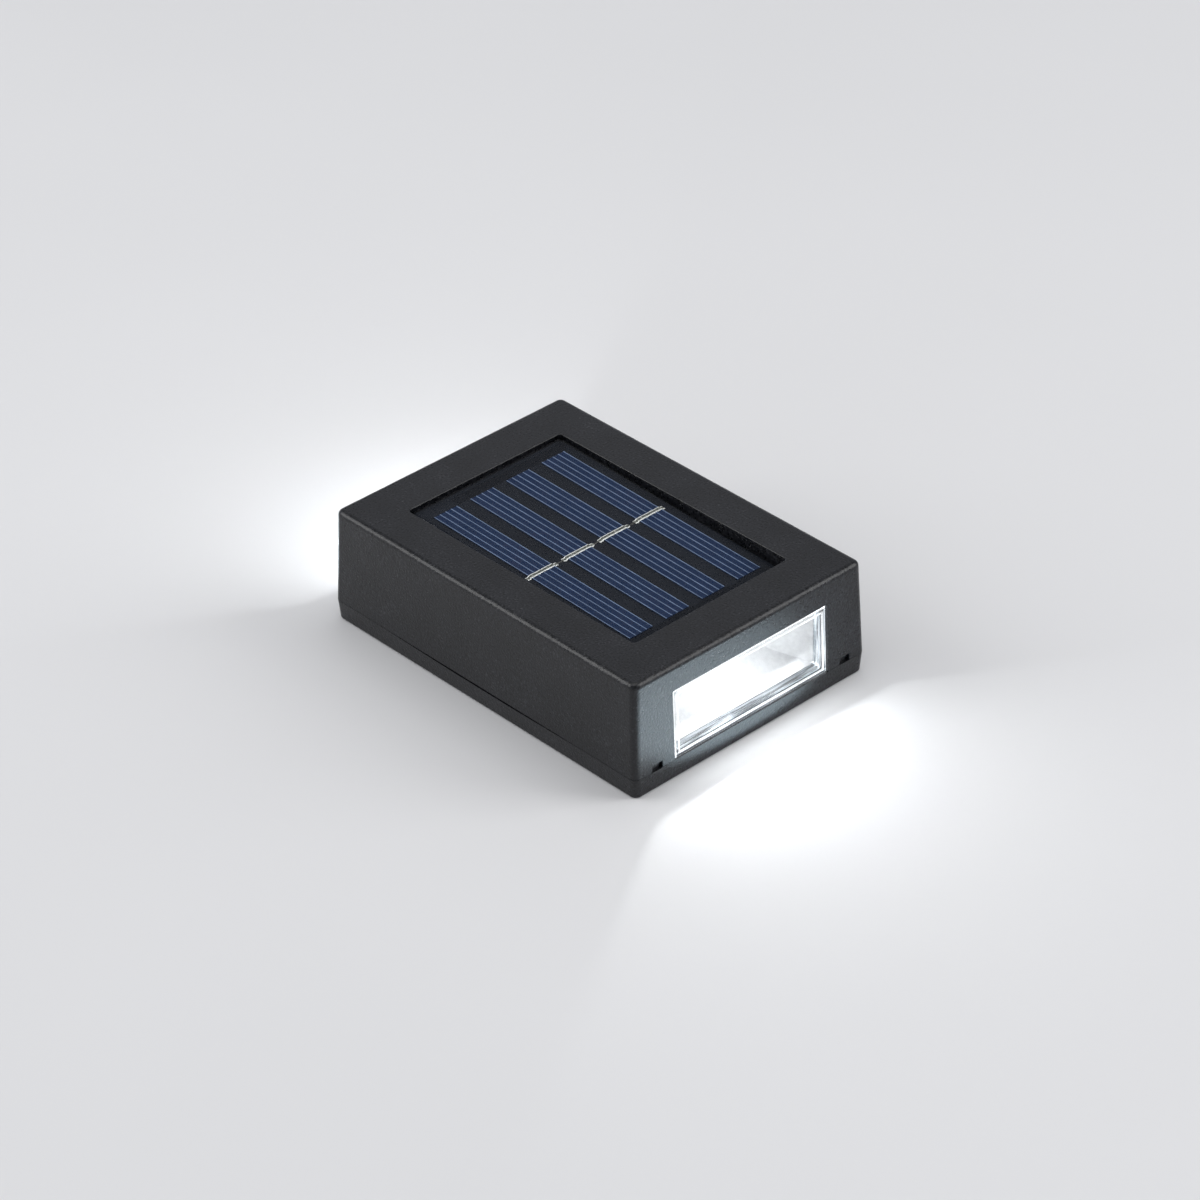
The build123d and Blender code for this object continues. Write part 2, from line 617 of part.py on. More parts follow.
def make_panel_cover():
    """The clear cover over the cells, hollow underneath so that it clears them."""
    cover = plate(PANEL_HALF_X, PANEL_HALF_Y, PANEL_CORNER_R, PANEL_BOARD_TOP_Z, PANEL_TOP_Z)
    cover = fillet(cover.faces().sort_by(Axis.Z)[-1].edges(), PANEL_EDGE_R)
    half_x = CELL_HALF_X + COVER_POCKET_GAP
    half_y = CELL_SPAN_Y / 2 + SEAT + RIBBON_TAIL + COVER_POCKET_GAP
    top = CELL_TOP_Z + RIBBON_T + SEAT
    return cover - block(-half_x, half_x, -half_y, half_y, PANEL_BOARD_TOP_Z - OVERCUT, top)


def make_panel_gasket():
    """A foam frame between the board and the ledge of the tray."""
    frame = plate(PANEL_HALF_X, PANEL_HALF_Y, PANEL_CORNER_R, LEDGE_Z, PANEL_BOTTOM_Z)
    inner_x = PANEL_HALF_X - GASKET_W
    inner_y = PANEL_HALF_Y - GASKET_W
    return frame - block(-inner_x, inner_x, -inner_y, inner_y, LEDGE_Z - OVERCUT, PANEL_BOTTOM_Z + OVERCUT)


def cell_y(index):
    """Y of the middle of a cell strip."""
    return (index - (CELL_COUNT - 1) / 2) * CELL_PITCH


def make_solar_cell(index):
    """One blue strip along the panel."""
    y = cell_y(index)
    return block(-CELL_HALF_X, CELL_HALF_X, y - CELL_W / 2, y + CELL_W / 2, PANEL_BOARD_TOP_Z, CELL_TOP_Z)


def make_cell_fingers():
    """The fine silver lines along every strip, left out under the ribbons."""
    reach = CELL_W / 2 - FINGER_INSET - FINGER_W / 2
    fingers = []
    for index in range(CELL_COUNT):
        for line in range(FINGER_COUNT):
            y = cell_y(index) - reach + 2 * reach * line / (FINGER_COUNT - 1)
            for end in (-1, 1):
                fingers.append(block(end * RIBBON_W / 2, end * CELL_HALF_X,
                                     y - FINGER_W / 2, y + FINGER_W / 2, CELL_TOP_Z, CELL_TOP_Z + FINGER_T))
    return fingers


def make_tabbing_ribbons():
    """One ribbon on each strip: it crosses the strip and steps down to the board on both sides."""
    top = CELL_TOP_Z + RIBBON_T
    low = PANEL_BOARD_TOP_Z + RIBBON_T
    edge = CELL_W / 2 + SEAT
    step = [(edge, CELL_TOP_Z), (edge, PANEL_BOARD_TOP_Z), (edge + RIBBON_TAIL, PANEL_BOARD_TOP_Z),
            (edge + RIBBON_TAIL, low), (edge + RIBBON_T, low), (edge + RIBBON_T, top)]
    other_step = [(-y, z) for y, z in reversed(step)]
    profile = Plane.YZ * make_face(Polyline(*step, *other_step, close=True))
    ribbon = extrude(profile, RIBBON_W)
    return [Pos(-RIBBON_W / 2, cell_y(index), 0) * ribbon for index in range(CELL_COUNT)]


# The control board

def make_control_board():
    """The board between the two lamps, with two screw holes."""
    board = block(-BOARD_END_X, BOARD_END_X, -BOARD_W / 2, BOARD_W / 2, BOARD_BOTTOM_Z, BOARD_TOP_Z)
    for x in (-POST_X, POST_X):
        board -= upright(x, 0, BOARD_BOTTOM_Z - OVERCUT, BOARD_TOP_Z + OVERCUT,
                         BOARD_SCREW_R + HEAD_CLEARANCE)
    return board


def make_board_screws():
    """Two screws that hold the board on its posts."""
    length = BOARD_T + BOARD_SCREW_BITE
    return [screw(x, 0, BOARD_BOTTOM_Z, True, BOARD_HEAD_R, BOARD_HEAD_H, BOARD_SCREW_R, length)
            for x in (-POST_X, POST_X)]


def make_control_chip():
    """The chip that charges the battery by day and lights the lamps at night."""
    y = -BOARD_W / 4
    chip = centred_block(0, y, BOARD_TOP_Z + CHIP_LEG[2], CHIP_SIZE)
    for side in (-1, 1):
        for leg in range(CHIP_LEGS_A_SIDE):
            x = (leg - (CHIP_LEGS_A_SIDE - 1) / 2) * CHIP_LEG_PITCH
            leg_y = y + side * (CHIP_SIZE[1] / 2 + CHIP_LEG[1] / 2 - CHIP_LEG[0])
            chip += centred_block(x, leg_y, BOARD_TOP_Z, (CHIP_LEG[0], CHIP_LEG[1], 2 * CHIP_LEG[2]))
    return chip


def make_inductor():
    """A wound choke on the board, a drum with a waist."""
    x = POST_X / 2
    y = -BOARD_W / 4
    top = BOARD_TOP_Z + INDUCTOR_H
    drum = upright(x, y, BOARD_TOP_Z, top, INDUCTOR_WAIST_R)
    drum += upright(x, y, BOARD_TOP_Z, BOARD_TOP_Z + INDUCTOR_FLANGE_T, INDUCTOR_R)
    return drum + upright(x, y, top - INDUCTOR_FLANGE_T, top, INDUCTOR_R)


def make_capacitor():
    """A small round capacitor."""
    can = upright(-POST_X / 2, -BOARD_W / 4, BOARD_TOP_Z, BOARD_TOP_Z + CAPACITOR_H, CAPACITOR_R)
    return fillet(can.faces().sort_by(Axis.Z)[-1].edges(), WINDOW_CORNER_R)


def make_resistors():
    """A row of flat resistors."""
    places = [(i - (RESISTOR_COUNT - 1) / 2) * RESISTOR_PITCH - POST_X / 2 for i in range(RESISTOR_COUNT)]
    return [centred_block(x, BOARD_W / 4, BOARD_TOP_Z, RESISTOR_SIZE) for x in places]


# The battery

def make_battery_can():
    """The steel can of the cell, with its raised positive tip."""
    shoulder = BATTERY_TIP_X - BATTERY_NUB_H
    can = lying(BATTERY_TAIL_X, shoulder, BATTERY_Y, BATTERY_Z, BATTERY_R - BATTERY_SLEEVE_T)
    return can + lying(BATTERY_TAIL_X, BATTERY_TIP_X, BATTERY_Y, BATTERY_Z, BATTERY_NUB_R)


def make_battery_sleeve():
    """The shrunk sleeve round the can."""
    end = BATTERY_TIP_X - BATTERY_NUB_H
    sleeve = lying(BATTERY_TAIL_X, end, BATTERY_Y, BATTERY_Z, BATTERY_R)
    return sleeve - lying(BATTERY_TAIL_X - OVERCUT, end + OVERCUT, BATTERY_Y, BATTERY_Z,
                          BATTERY_R - BATTERY_SLEEVE_T)


def contact_plate(x0):
    """An upright metal plate at one end of the battery."""
    return block(x0, x0 + CONTACT_T, BATTERY_Y - CONTACT_W / 2, BATTERY_Y + CONTACT_W / 2,
                 BATTERY_Z - CONTACT_H / 2, BATTERY_Z + CONTACT_H / 2)


def make_battery_contact_plate():
    """The plate that the positive tip touches."""
    return contact_plate(BATTERY_TIP_X + SEAT / 2)


def make_battery_spring_plate():
    """The plate behind the spring at the negative end."""
    return contact_plate(SEAT / 2 - BAY_LENGTH / 2)


def helix_place(turn, start_x, rise, radius):
    """Point and direction on the spring's centre line after a number of turns."""
    angle = 2 * math.pi * turn
    across = radius * math.cos(angle)
    up = radius * math.sin(angle)
    point = Vector(start_x + rise * turn, BATTERY_Y + across, BATTERY_Z + up)
    slope = Vector(rise, -2 * math.pi * up, 2 * math.pi * across)
    return point, slope.normalized()


def biarc(start, start_dir, end, end_dir):
    """Two arcs that join two points, tangent to a direction at each."""
    chord = end - start
    both = start_dir + end_dir
    spread = 2 * (1 - start_dir.dot(end_dir))
    reach = (math.sqrt(chord.dot(both) ** 2 + spread * chord.dot(chord)) - chord.dot(both)) / spread
    first = start + start_dir * reach
    second = end - end_dir * reach
    middle = (first + second) * 0.5
    return [TangentArc(start, middle, tangent=start_dir),
            TangentArc(middle, end, tangent=(second - first).normalized())]


def make_battery_spring():
    """The coil spring at the negative end, one wire wound at a steady rise."""
    start_x = BATTERY_TAIL_X - SEAT - SPRING_WIRE_R
    end_x = SEAT - BAY_LENGTH / 2 + CONTACT_T + SPRING_WIRE_R
    rise = (end_x - start_x) / SPRING_TURNS
    print("battery_spring gap between turns:", round(abs(rise) - 2 * SPRING_WIRE_R, 2), "mm")
    arcs = []
    for half in range(2 * SPRING_TURNS):
        start = helix_place(half / 2, start_x, rise, SPRING_R)
        end = helix_place((half + 1) / 2, start_x, rise, SPRING_R)
        arcs += biarc(*start, *end)
    path = Wire(arcs)
    section = Plane(origin=path @ 0, z_dir=path % 0) * Circle(SPRING_WIRE_R)
    return sweep(section, path=path)


# The switch in the back

def make_switch_frame():
    """The folded steel frame of the switch, with an ear and a hole at each end."""
    half_l = SWITCH_EAR_PITCH / 2 + SWITCH_EAR_END
    frame = centred_block(0, SWITCH_Y, SWITCH_SEAT_Z, (2 * half_l, SWITCH_W, SWITCH_SHEET))
    frame += centred_block(0, SWITCH_Y, SWITCH_SEAT_Z, (SWITCH_L, SWITCH_W, SWITCH_H))
    frame -= centred_block(0, SWITCH_Y, SWITCH_CAVITY_Z,
                           (SWITCH_L - 2 * SWITCH_SHEET, SWITCH_W - 2 * SWITCH_SHEET, SWITCH_H))
    frame -= Pos(0, SWITCH_Y, SWITCH_SEAT_Z) * Box(KNOB_SLOT_L, KNOB_SLOT_W, SWITCH_H)
    for x in (-SWITCH_EAR_PITCH / 2, SWITCH_EAR_PITCH / 2):
        frame -= upright(x, SWITCH_Y, SWITCH_SEAT_Z - OVERCUT, SWITCH_CAVITY_Z + OVERCUT,
                         SWITCH_SCREW_R + SCREW_CLEARANCE)
    return frame


def switch_pin_places():
    """X of the three terminals."""
    return [-SWITCH_PIN_PITCH, 0, SWITCH_PIN_PITCH]


def make_switch_base():
    """The insulating base that closes the frame and holds the terminals."""
    size = (SWITCH_L - 2 * SWITCH_SHEET - 2 * SEAT, SWITCH_W - 2 * SWITCH_SHEET - 2 * SEAT, SWITCH_BASE_T)
    base = centred_block(0, SWITCH_Y, SWITCH_BASE_Z, size)
    for x in switch_pin_places():
        base -= centred_block(x, SWITCH_Y, SWITCH_BASE_Z - OVERCUT,
                              (SWITCH_PIN[0], SWITCH_PIN[1], SWITCH_BASE_T + 2 * OVERCUT))
    return base


def make_switch_terminals():
    """Three flat pins through the base."""
    height = SWITCH_PIN_IN + SWITCH_BASE_T + SWITCH_PIN_OUT
    size = (SWITCH_PIN[0], SWITCH_PIN[1], height)
    return [centred_block(x, SWITCH_Y, SWITCH_BASE_Z - SWITCH_PIN_IN, size) for x in switch_pin_places()]


def make_switch_knob():
    """The slider that a finger pushes, in its ON place. A shoulder keeps it in the frame."""
    knob = block(KNOB_X - KNOB_L / 2, KNOB_X + KNOB_L / 2, SWITCH_Y - KNOB_W / 2, SWITCH_Y + KNOB_W / 2,
                 KNOB_TIP_Z, KNOB_SHOULDER_Z + KNOB_SHOULDER_T)
    groove = Box(KNOB_RIB_DEPTH, KNOB_W, 2 * KNOB_RIB_DEPTH)
    for rib in (-1, 0, 1):
        knob -= Pos(KNOB_X + rib * KNOB_L / 3, SWITCH_Y, KNOB_TIP_Z) * groove
    return knob + centred_block(KNOB_X, SWITCH_Y, KNOB_SHOULDER_Z,
                                (KNOB_SHOULDER_L, KNOB_SHOULDER_W, KNOB_SHOULDER_T))


def make_switch_clip():
    """The sliding contact on the knob, which bridges two terminals."""
    low = KNOB_SHOULDER_Z + KNOB_SHOULDER_T
    high = SWITCH_BASE_Z - SWITCH_PIN_IN - SLIDE_GAP
    return centred_block(KNOB_X, SWITCH_Y, low, (KNOB_SHOULDER_L, CLIP_W, high - low))


def make_switch_screws():
    """Two small screws through the frame's ears."""
    length = SWITCH_SHEET + SWITCH_SCREW_BITE
    return [screw(x, SWITCH_Y, SWITCH_CAVITY_Z, False, SWITCH_HEAD_R, SWITCH_HEAD_H, SWITCH_SCREW_R, length)
            for x in (-SWITCH_EAR_PITCH / 2, SWITCH_EAR_PITCH / 2)]


# Wires

def make_panel_wire(side):
    """From the panel's underside, through the tray's opening, to the board."""
    x = side * PANEL_WIRE_X
    far = side * (PANEL_WIRE_X + PANEL_WIRE_SHIFT)
    top = PANEL_BOTTOM_Z - math.tan(math.radians(PANEL_TILT)) * x - SEAT
    middle = (PANEL_BOTTOM_Z + BOARD_TOP_Z) / 2
    return wire([(x, PANEL_WIRE_Y, top), (x, PANEL_WIRE_Y, middle), (far, PANEL_WIRE_Y, middle),
                 (far, PANEL_WIRE_Y, BOARD_TOP_Z)])


def make_battery_wire(end):
    """From the near edge of a battery contact to the board's underside."""
    x = end * (BAY_LENGTH - CONTACT_T) / 2
    start_y = BATTERY_Y - CONTACT_W / 2
    land_y = BOARD_W / 2 - WIRE_LAND_Y
    z = BOARD_BOTTOM_Z - WIRE_DROP
    return wire([(x, start_y, z), (x, land_y, z), (x, land_y, BOARD_BOTTOM_Z)])


def make_switch_wire(index):
    """From a switch terminal to the board's underside."""
    x = switch_pin_places()[index]
    start_y = SWITCH_Y + SWITCH_PIN[1] / 2
    land_y = WIRE_LAND_Y - BOARD_W / 2
    z = SWITCH_TOP_Z + SWITCH_WIRE_RISE
    return wire([(x, start_y, z), (x, land_y, z), (x, land_y, BOARD_BOTTOM_Z)])


def as_list(shape):
    """One shape, or a list of shapes, as a list."""
    return list(shape) if isinstance(shape, (list, tuple)) else [shape]


def main():
    lens = make_lens()
    reflector = make_reflector()
    led = make_led()
    parts = {
        "front_shell": make_front_shell(),
        "rear_cover": make_rear_cover(),
        "cover_screws": make_cover_screws(),
        "upper_lens": lens,
        "lower_lens": other_end(lens),
        "upper_reflector": reflector,
        "lower_reflector": other_end(reflector),
        "upper_led": led,
        "lower_led": other_end(led),
        "led_legs": make_led_legs(),
        "control_board": make_control_board(),
        "board_screws": make_board_screws(),
        "control_chip": make_control_chip(),
        "inductor": make_inductor(),
        "capacitor": make_capacitor(),
        "resistors": make_resistors(),
        "battery_can": make_battery_can(),
        "battery_sleeve": make_battery_sleeve(),
        "battery_spring": make_battery_spring(),
        "battery_spring_plate": make_battery_spring_plate(),
        "battery_contact_plate": make_battery_contact_plate(),
        "switch_frame": make_switch_frame(),
        "switch_base": make_switch_base(),
        "switch_terminals": make_switch_terminals(),
        "switch_screws": make_switch_screws(),
        "switch_knob": make_switch_knob(),
        "switch_clip": make_switch_clip(),
        "panel_wire_red": make_panel_wire(1),
        "panel_wire_black": make_panel_wire(-1),
        "battery_wire_red": make_battery_wire(1),
        "battery_wire_black": make_battery_wire(-1),
        "switch_wire_red": make_switch_wire(2),
        "switch_wire_black": make_switch_wire(1),
    }
    panel = {
        "panel_board": make_panel_board(),
        "panel_cover": make_panel_cover(),
        "panel_gasket": make_panel_gasket(),
        "cell_fingers": make_cell_fingers(),
        "tabbing_ribbons": make_tabbing_ribbons(),
    }
    for index in range(CELL_COUNT):
        panel[f"solar_cell_{index + 1}"] = make_solar_cell(index)
    for node, shape in panel.items():
        parts[node] = [on_panel_slope(piece) for piece in as_list(shape)]

    os.makedirs("parts", exist_ok=True)
    for node, shape in parts.items():
        solids = [solid for piece in as_list(shape) for solid in piece.solids()]
        export_step(Compound(children=solids), f"parts/{node}.step")


main()
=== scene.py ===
import json
import math

import bmesh
import bpy
from mathutils import Matrix, Vector, noise


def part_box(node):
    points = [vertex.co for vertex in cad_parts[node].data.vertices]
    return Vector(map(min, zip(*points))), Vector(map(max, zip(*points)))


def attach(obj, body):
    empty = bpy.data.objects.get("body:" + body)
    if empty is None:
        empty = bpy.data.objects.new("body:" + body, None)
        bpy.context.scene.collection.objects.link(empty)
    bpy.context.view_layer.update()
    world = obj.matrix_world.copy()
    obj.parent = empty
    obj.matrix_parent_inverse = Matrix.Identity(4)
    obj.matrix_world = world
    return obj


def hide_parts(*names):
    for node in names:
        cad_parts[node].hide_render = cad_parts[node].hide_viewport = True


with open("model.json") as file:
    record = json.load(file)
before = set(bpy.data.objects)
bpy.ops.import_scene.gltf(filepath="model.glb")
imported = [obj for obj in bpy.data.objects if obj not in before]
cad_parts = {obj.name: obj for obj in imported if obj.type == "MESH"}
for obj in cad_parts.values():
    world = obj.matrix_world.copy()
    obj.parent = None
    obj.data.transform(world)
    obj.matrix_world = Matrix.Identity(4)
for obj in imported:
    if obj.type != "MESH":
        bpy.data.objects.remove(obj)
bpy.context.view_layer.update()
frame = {"nodes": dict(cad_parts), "record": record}
NODES = frame["nodes"]
MM = 0.001  # lengths are in metres, angles in degrees

# Camera, fitted to the case's corners in the photograph
CAMERA_PLACE = (0.57519, -0.529538, 0.540861)
CAMERA_AZIMUTH = 47.317
CAMERA_ELEVATION = 34.12
CAMERA_ROLL = -1.041
CAMERA_LENS = 131.655

# Studio light
FLOOR_SIZE = 8.0
FLOOR_PATCH = 0.15
FLOOR_TONE = (0.718, 0.718, 0.724)
OVERHEAD_SIZE = 1.6
OVERHEAD_PLACE = (0.0, 0.0, 1.6)
OVERHEAD_POWER = 12.8
SIDE_WIDTH = 0.6
SIDE_HEIGHT = 1.0
SIDE_PLACES = ((-0.80, -0.82, 0.68), (0.78, 0.78, 0.70))
SIDE_POWER = 7.2
BACK_WIDTH = 1.6
BACK_HEIGHT = 1.0
BACK_PLACE = (-0.98, 0.90, 0.90)
BACK_POWER = 0.95
HORIZON = (0.48, 0.495, 0.54)
ZENITH = (0.10, 0.103, 0.112)

# The object's own light at each end: a beam, a lamp in the reflector and the glow of the window
LAMP_TINT = (0.95, 0.985, 1.0)
LAMP_POWER = 0.152
LAMP_RADIUS = 1.5 * MM
LAMP_SPREAD = 170.0
LAMP_TURN = 9.0
LAMP_BACK = 3.0 * MM
LAMP_GLOW = 1.5
CHAMBER_POWER = 0.004
CHAMBER_AHEAD = 9.0 * MM
WINDOW_POWER = 0.0045
WINDOW_TILT = 35.0
WINDOW_SHARE = 0.8

# Light that the table throws back at the case, from patches of (near edge, far edge, half width)
BOUNCE_LEVEL = 3.2
BOUNCE_TINT = (0.70, 0.89, 1.0)
BOUNCE_PATCHES = ((5.5 * MM, 48.0 * MM, 36.0 * MM), (1.0 * MM, 9.0 * MM, 22.0 * MM))
BOUNCE_Z = 0.5 * MM

# Painted glow on the lens: emission that stands in for the light in its walls and round its front edge
LENS_WALL_GLOW = 0.42
LENS_EDGE_LINE = 1.0 * MM
LENS_EDGE_FADE = 0.2 * LENS_EDGE_LINE

# Soldered ribbon across the strips, with narrow links between them; each RUN is a length along it
RIBBON_STEP = 0.12 * MM
RIBBON_HALF_W = 0.64 * MM
RIBBON_H = 0.13 * MM
LINK_HALF_W = 0.24 * MM
LINK_H = 0.09 * MM
RIBBON_ARCH = 12
RIBBON_RIDGE = 0.55
RIBBON_HOLLOW = 0.4
RIBBON_DIP_RUN = 0.35 * MM
RIBBON_WANDER = 0.10 * MM
RIBBON_WANDER_RUN = 0.9 * MM
RIBBON_SWELL = 0.10
RIBBON_SWELL_RUN = 0.5 * MM
RIBBON_LUMP = 0.20
RIBBON_LUMP_RUN = 0.45 * MM
LINK_SHARE = 0.4


# Node helpers

def add(tree, kind, inputs=None, **settings):
    """Adds a node. Each input is a plain value or a socket to link from."""
    made = tree.nodes.new(kind)
    for key, value in settings.items():
        setattr(made, key, value)
    for key, value in (inputs or {}).items():
        if isinstance(value, bpy.types.NodeSocket):
            tree.links.new(value, made.inputs[key])
        else:
            made.inputs[key].default_value = value
    return made


def new_material(name, **inputs):
    """A material with a Principled shader, as (material, node tree, shader)."""
    material = bpy.data.materials.new(name)
    material.use_nodes = True
    tree = material.node_tree
    shader = tree.nodes["Principled BSDF"]
    for key, value in inputs.items():
        shader.inputs[key.replace("_", " ")].default_value = value
    return material, tree, shader


def feed(tree, shader, **sockets):
    """Links sockets to a shader's inputs."""
    for key, socket in sockets.items():
        tree.links.new(socket, shader.inputs[key.replace("_", " ")])


def place(tree, stretch=(1.0, 1.0, 1.0)):
    """Where a point lies on the object, in metres, stretched along the axes."""
    where = add(tree, "ShaderNodeTexCoord").outputs["Object"]
    return add(tree, "ShaderNodeMapping", {"Vector": where, "Scale": stretch}).outputs[0]


def grain(tree, size, detail=2.0, stretch=(1.0, 1.0, 1.0)):
    """Noise from 0 to 1 with features about size metres across."""
    return add(tree, "ShaderNodeTexNoise", {"Vector": place(tree, stretch), "Scale": 1 / size,
                                            "Detail": detail}).outputs[0]


def cells(tree, size):
    """A Voronoi node with cells about size metres across."""
    return add(tree, "ShaderNodeTexVoronoi", {"Vector": place(tree), "Scale": 1 / size})


def spread(tree, value, low, high, start=0.0, end=1.0):
    """A value from start to end, spread between low and high."""
    return add(tree, "ShaderNodeMapRange", {"Value": value, "From Min": start, "From Max": end,
                                            "To Min": low, "To Max": high}).outputs[0]


def ramp(tree, value, *stops):
    """A colour ramp through (place, colour) stops."""
    made = add(tree, "ShaderNodeValToRGB", {"Fac": value})
    elements = made.color_ramp.elements
    while len(elements) < len(stops):
        elements.new(0.5)
    for element, (position, colour) in zip(elements, stops):
        element.position = position
        element.color = (*colour, 1.0)
    return made.outputs["Color"]


def relief(tree, height, depth, strength=1.0):
    """A bumped normal from a height of 0 to 1, depth metres deep."""
    return add(tree, "ShaderNodeBump",
               {"Height": height, "Distance": depth, "Strength": strength}).outputs[0]


def reckon(tree, operation, one, two=0.0, **settings):
    """The result of a Math node."""
    return add(tree, "ShaderNodeMath", {0: one, 1: two}, operation=operation, **settings).outputs[0]


def part_of(tree, vector, axis):
    """One axis of a vector."""
    return add(tree, "ShaderNodeSeparateXYZ", {0: vector}).outputs[axis]


def shaded(colour, factor):
    """A colour made lighter or darker."""
    return tuple(min(1.0, channel * factor) for channel in colour)


def let_lamps_through(tree, shader):
    """Lets the light of lamps and soft light pass a clear piece, which still shines and bends sight."""
    path = add(tree, "ShaderNodeLightPath")
    passes = reckon(tree, "MAXIMUM", path.outputs["Is Shadow Ray"], path.outputs["Is Diffuse Ray"])
    clear = add(tree, "ShaderNodeBsdfTransparent")
    mix = add(tree, "ShaderNodeMixShader", {0: passes, 1: shader.outputs[0], 2: clear.outputs[0]})
    tree.links.new(mix.outputs[0], tree.nodes["Material Output"].inputs["Surface"])


def drifting(name, colour, size, drift, rough, depth, stretch=(1.0, 1.0, 1.0), **inputs):
    """A tone that drifts over patches, with grain of about size metres in the gloss and relief."""
    material, tree, shader = new_material(name, **inputs)
    fine = grain(tree, size, 3.0, stretch)
    broad = grain(tree, 12 * size, 2.0, stretch)
    feed(tree, shader,
         Base_Color=ramp(tree, broad, (0.3, shaded(colour, 1 - drift)), (0.7, shaded(colour, 1 + drift))),
         Roughness=spread(tree, fine, *rough),
         Normal=relief(tree, fine, depth))
    return material


# Materials, one for each slot of the record

def case_plastic(name):
    """Black moulded plastic with a fine spark-eroded texture and a little dust."""
    material, tree, shader = new_material(name, Specular_IOR_Level=0.42)
    texture = grain(tree, 0.5 * MM, 2.0)
    patches = grain(tree, 9 * MM, 3.0)
    both = add(tree, "ShaderNodeMix", {"Factor": 0.25, "A": texture, "B": patches}).outputs["Result"]
    feed(tree, shader,
         Base_Color=ramp(tree, both, (0.35, (0.001, 0.0012, 0.0018)), (0.6, (0.0085, 0.0092, 0.012)),
                         (0.68, (0.032, 0.033, 0.038))),
         Roughness=spread(tree, texture, 0.20, 0.40),
         Normal=relief(tree, texture, 0.08 * MM))
    return material


def painted_lens_glow(tree):
    """Masks of painted glow: streaks of light round the lens's walls, and a painted bright line round its
    front edge.
    """
    # Noise stretched along the walls sets the streaks of the painted glow
    drawn = grain(tree, 0.5 * MM, 2.0, (1.0, 0.06, 0.06))
    painted_wall_streaks = spread(tree, drawn, 0.1 * LENS_WALL_GLOW, 1.7 * LENS_WALL_GLOW, 0.38, 0.62)
    # Painted bright line: emission over the front LENS_EDGE_LINE of the lens, rising over LENS_EDGE_FADE
    reach = reckon(tree, "ABSOLUTE", part_of(tree, place(tree), "X"))
    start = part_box("upper_lens")[1].x - LENS_EDGE_LINE
    edge = spread(tree, reach, 0.0, 1.0, start, start + LENS_EDGE_FADE)
    return reckon(tree, "MAXIMUM", painted_wall_streaks, edge)


def clear_lens(name):
    """Polished clear plastic. Its bevelled rim and walls get a painted glow, emission that stands in for
    the light they carry from the lamp.
    """
    material, tree, shader = new_material(name, Base_Color=(0.985, 0.992, 0.996, 1.0),
                                          Transmission_Weight=1.0, IOR=1.49)
    wear = grain(tree, 0.8 * MM, 4.0)
    normal = add(tree, "ShaderNodeNewGeometry").outputs["True Normal"]
    tilt = reckon(tree, "ABSOLUTE", part_of(tree, normal, "X"))
    # Painted glow on the bevelled rim, where the true normal tilts part way towards X
    rim = ramp(tree, tilt, (0.45, (0, 0, 0)), (0.6, (1, 1, 1)), (0.8, (1, 1, 1)), (0.9, (0, 0, 0)))
    wall = spread(tree, tilt, 1.0, 0.0, 0.25, 0.4)
    glow = reckon(tree, "MAXIMUM", rim, reckon(tree, "MULTIPLY", wall, painted_lens_glow(tree)))
    feed(tree, shader,
         Roughness=spread(tree, wear, 0.0, 0.025, 0.35, 0.8),
         Normal=relief(tree, wear, 0.004 * MM),
         # The painted glow goes in as emission colour and strength
         Emission_Color=ramp(tree, glow, (0.2, (0.74, 0.88, 1.0)), (0.9, (0.95, 0.98, 1.0))),
         Emission_Strength=glow)
    let_lamps_through(tree, shader)
    return material


def reflector_white(name):
    """Bright white moulding with a grained, slightly mottled face."""
    material, tree, shader = new_material(name, Specular_IOR_Level=0.5)
    mottle = grain(tree, 1.1 * MM, 4.0)
    fine = grain(tree, 0.35 * MM, 2.0)
    feed(tree, shader,
         Base_Color=ramp(tree, mottle, (0.35, (0.76, 0.765, 0.77)), (0.65, (0.85, 0.855, 0.86))),
         Roughness=spread(tree, fine, 0.25, 0.45),
         Normal=relief(tree, fine, 0.03 * MM, 0.6))
    return material


def lamp_resin(name):
    """The lit lamp's clear resin, with a little haze in its glow."""
    material, tree, shader = new_material(name, Base_Color=(0.9, 0.93, 0.96, 1.0), Roughness=0.15,
                                          Emission_Color=(*LAMP_TINT, 1.0))
    haze = grain(tree, 1.5 * MM, 2.0)
    feed(tree, shader, Emission_Strength=spread(tree, haze, 0.7 * LAMP_GLOW, 1.3 * LAMP_GLOW))
    return material


def panel_black(name):
    """The black lacquer of the panel's board."""
    return drifting(name, (0.0095, 0.0118, 0.017), 0.5 * MM, 0.12, (0.42, 0.5), 0.001 * MM,
                    Specular_IOR_Level=0.05)


def panel_clear(name):
    """The clear cover, potted onto the cells, so that only its outer face shines."""
    material, tree, shader = new_material(name)
    tree.nodes.remove(shader)
    swell = grain(tree, 6 * MM, 2.0)
    uneven = relief(tree, swell, 0.02 * MM)
    gloss = add(tree, "ShaderNodeBsdfGlossy",
                {"Roughness": spread(tree, swell, 0.10, 0.25), "Normal": uneven})
    clear = add(tree, "ShaderNodeBsdfTransparent")
    where = add(tree, "ShaderNodeNewGeometry")
    outer = spread(tree, part_of(tree, where.outputs["True Normal"], "Z"), 0.0, 1.0, 0.1, 0.3)
    front = reckon(tree, "SUBTRACT", outer, where.outputs["Backfacing"], use_clamp=True)
    mirror = add(tree, "ShaderNodeFresnel", {"IOR": 1.19, "Normal": uneven}).outputs[0]
    share = reckon(tree, "MULTIPLY", mirror, front)
    mix = add(tree, "ShaderNodeMixShader", {0: share, 1: clear.outputs[0], 2: gloss.outputs[0]})
    tree.links.new(mix.outputs[0], tree.nodes["Material Output"].inputs["Surface"])
    return material


